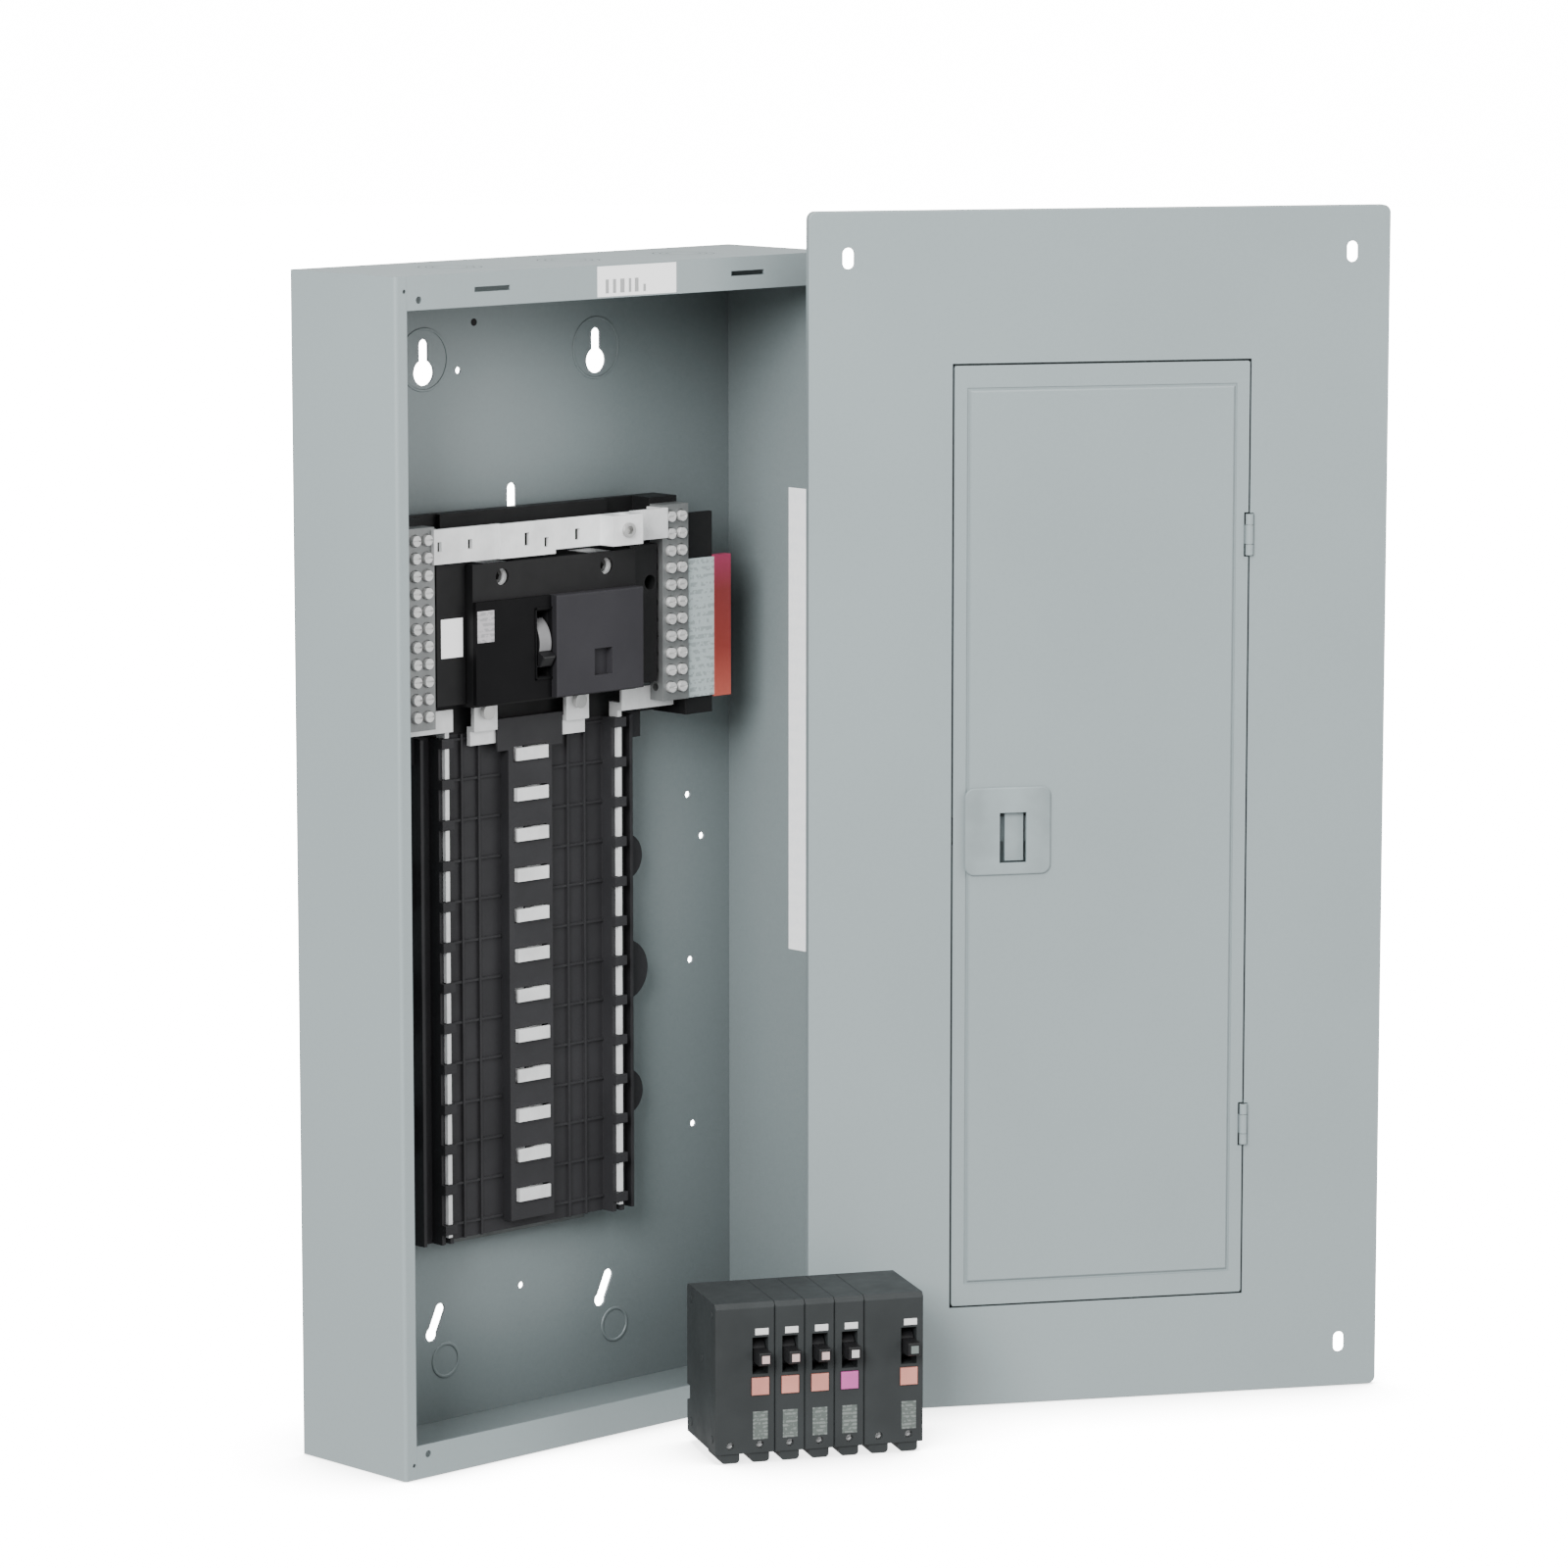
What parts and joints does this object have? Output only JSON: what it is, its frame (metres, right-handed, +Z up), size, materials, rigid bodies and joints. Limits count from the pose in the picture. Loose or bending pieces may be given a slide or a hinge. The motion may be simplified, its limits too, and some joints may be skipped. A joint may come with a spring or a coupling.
{
  "type": "residential load center",
  "caption": "Grey steel load center kit: open enclosure with plug-on interior and main breaker, separate cover with hinged latching door, and loose branch breakers.",
  "frame": {"origin": "on the enclosure's back face, midway across it, at the height of its underside", "axes": "+X to the right as seen from the front, +Y into the wall, +Z up"},
  "size_m": [0.6191, 0.3383, 0.759],
  "materials": {
    "grey_steel": "smooth light grey enamel",
    "bare_steel": "zinc plated, satin",
    "black_plastic": "matt moulded",
    "black_handle": "semi-gloss moulded",
    "grey_panel": "fine satin moulded",
    "tinned": "tin plated, satin",
    "screw": "zinc plated",
    "bond_green": "green enamel",
    "label_white": "matt label stock",
    "label_red": "matt label stock",
    "case_black": "matt phenolic",
    "button_coral": "satin moulded",
    "button_magenta": "satin moulded",
    "latch_grey": "satin moulded",
    "spring_steel": "bright spring steel"
  },
  "bodies": {
    "enclosure": {"box_wrapper": "grey_steel", "box_bottom_end": "grey_steel", "box_top_end": "grey_steel", "interior_pan": "bare_steel", "interior_screws": "screw", "bus_base": "black_plastic", "stab_ridge": "black_plastic", "bus_bar_left": "tinned", "bus_bar_right": "tinned", "neutral_rail_left": "tinned", "neutral_rail_right": "tinned", "neutral_bar_left": "tinned", "neutral_bar_right": "tinned", "neutral_screws": "screw", "neutral_strap": "tinned", "strap_screws": "screw", "bonding_screw": "bond_green", "neutral_lug": "tinned", "neutral_lug_screw": "screw", "main_carrier": "black_plastic", "label_plate": "label_white", "label_band": "label_red", "main_housing": "black_plastic", "main_cover": "grey_panel", "line_lugs": "tinned", "line_lug_screws": "screw", "load_straps": "tinned", "load_strap_screws": "screw"},
    "main_switch": {"main_handle": "black_handle"},
    "cover": {"cover_plate": "grey_steel", "dead_front": "grey_steel", "space_fillers": "grey_steel", "hinge_brackets": "grey_steel", "hinge_pins": "screw"},
    "door": {"door_panel": "grey_steel", "directory_card": "label_white", "hinge_leaves": "grey_steel", "latch_housing": "latch_grey", "latch_spring": "spring_steel"},
    "latch": {"latch_slider": "latch_grey"},
    "double_left": {"double_left_case": "case_black", "double_left_terminals": "tinned"},
    "double_left_toggle": {"double_left_handle": "black_handle"},
    "double_left_button": {"double_left_test_button": "button_coral"},
    "single_left": {"single_left_case": "case_black", "single_left_terminals": "tinned"},
    "single_left_toggle": {"single_left_handle": "black_handle"},
    "single_left_button": {"single_left_test_button": "button_coral"},
    "single_middle": {"single_middle_case": "case_black", "single_middle_terminals": "tinned"},
    "single_middle_toggle": {"single_middle_handle": "black_handle"},
    "single_middle_button": {"single_middle_test_button": "button_coral"},
    "single_right": {"single_right_case": "case_black", "single_right_terminals": "tinned"},
    "single_right_toggle": {"single_right_handle": "black_handle"},
    "single_right_button": {"single_right_test_button": "button_magenta"},
    "double_right": {"double_right_case": "case_black", "double_right_terminals": "tinned"},
    "double_right_toggle": {"double_right_handle": "black_handle"},
    "double_right_button": {"double_right_test_button": "button_coral"}
  },
  "joints": [
    {"name": "main_switch_turn", "type": "hinge", "parent": "enclosure", "child": "main_switch", "pos_m": [-0.0275, -0.0394, 0.4955], "axis": [-1, 0, 0], "range_deg": [0, 60]},
    {"name": "cover_slide", "type": "slide", "parent": "enclosure", "child": "cover", "axis": [0.8583, -0.5131, 0], "range_m": [0, 0.2]},
    {"name": "door_hinge", "type": "hinge", "parent": "cover", "child": "door", "pos_m": [0.35577, -0.29261, 0.364], "axis": [0, 0, 1], "range_deg": [0, 115]},
    {"name": "latch_slide", "type": "slide", "parent": "door", "child": "latch", "axis": [0.8583, -0.5131, 0], "range_m": [0, 0.007], "stiffness_N_per_m": 200, "springref_m": -0.003, "deforming": ["latch_spring"]},
    {"name": "double_left_lift", "type": "slide", "parent": "enclosure", "child": "double_left", "axis": [0, 0, 1], "range_m": [0, 0.06]},
    {"name": "double_left_toggle_turn", "type": "hinge", "parent": "double_left", "child": "double_left_toggle", "pos_m": [0.01343, -0.20144, 0.067], "axis": [0.887, -0.4617, 0], "range_deg": [-18, 18]},
    {"name": "double_left_button_push", "type": "slide", "parent": "double_left", "child": "double_left_button", "axis": [0.4617, 0.887, 0], "range_m": [0, 0.0012], "stiffness_N_per_m": 300, "springref_m": -0.001},
    {"name": "single_left_lift", "type": "slide", "parent": "enclosure", "child": "single_left", "axis": [0, 0, 1], "range_m": [0, 0.06]},
    {"name": "single_left_toggle_turn", "type": "hinge", "parent": "single_left", "child": "single_left_toggle", "pos_m": [0.03032, -0.21023, 0.067], "axis": [0.887, -0.4617, 0], "range_deg": [-18, 18]},
    {"name": "single_left_button_push", "type": "slide", "parent": "single_left", "child": "single_left_button", "axis": [0.4617, 0.887, 0], "range_m": [0, 0.0012], "stiffness_N_per_m": 300, "springref_m": -0.001},
    {"name": "single_middle_lift", "type": "slide", "parent": "enclosure", "child": "single_middle", "axis": [0, 0, 1], "range_m": [0, 0.06]},
    {"name": "single_middle_toggle_turn", "type": "hinge", "parent": "single_middle", "child": "single_middle_toggle", "pos_m": [0.04722, -0.21903, 0.067], "axis": [0.887, -0.4617, 0], "range_deg": [-18, 18]},
    {"name": "single_middle_button_push", "type": "slide", "parent": "single_middle", "child": "single_middle_button", "axis": [0.4617, 0.887, 0], "range_m": [0, 0.0012], "stiffness_N_per_m": 300, "springref_m": -0.001},
    {"name": "single_right_lift", "type": "slide", "parent": "enclosure", "child": "single_right", "axis": [0, 0, 1], "range_m": [0, 0.06]},
    {"name": "single_right_toggle_turn", "type": "hinge", "parent": "single_right", "child": "single_right_toggle", "pos_m": [0.06412, -0.22783, 0.067], "axis": [0.887, -0.4617, 0], "range_deg": [-18, 18]},
    {"name": "single_right_button_push", "type": "slide", "parent": "single_right", "child": "single_right_button", "axis": [0.4617, 0.887, 0], "range_m": [0, 0.0012], "stiffness_N_per_m": 300, "springref_m": -0.001},
    {"name": "double_right_lift", "type": "slide", "parent": "enclosure", "child": "double_right", "axis": [0, 0, 1], "range_m": [0, 0.06]},
    {"name": "double_right_toggle_turn", "type": "hinge", "parent": "double_right", "child": "double_right_toggle", "pos_m": [0.09791, -0.24542, 0.067], "axis": [0.887, -0.4617, 0], "range_deg": [-18, 18]},
    {"name": "double_right_button_push", "type": "slide", "parent": "double_right", "child": "double_right_button", "axis": [0.4617, 0.887, 0], "range_m": [0, 0.0012], "stiffness_N_per_m": 300, "springref_m": -0.001}
  ]
}
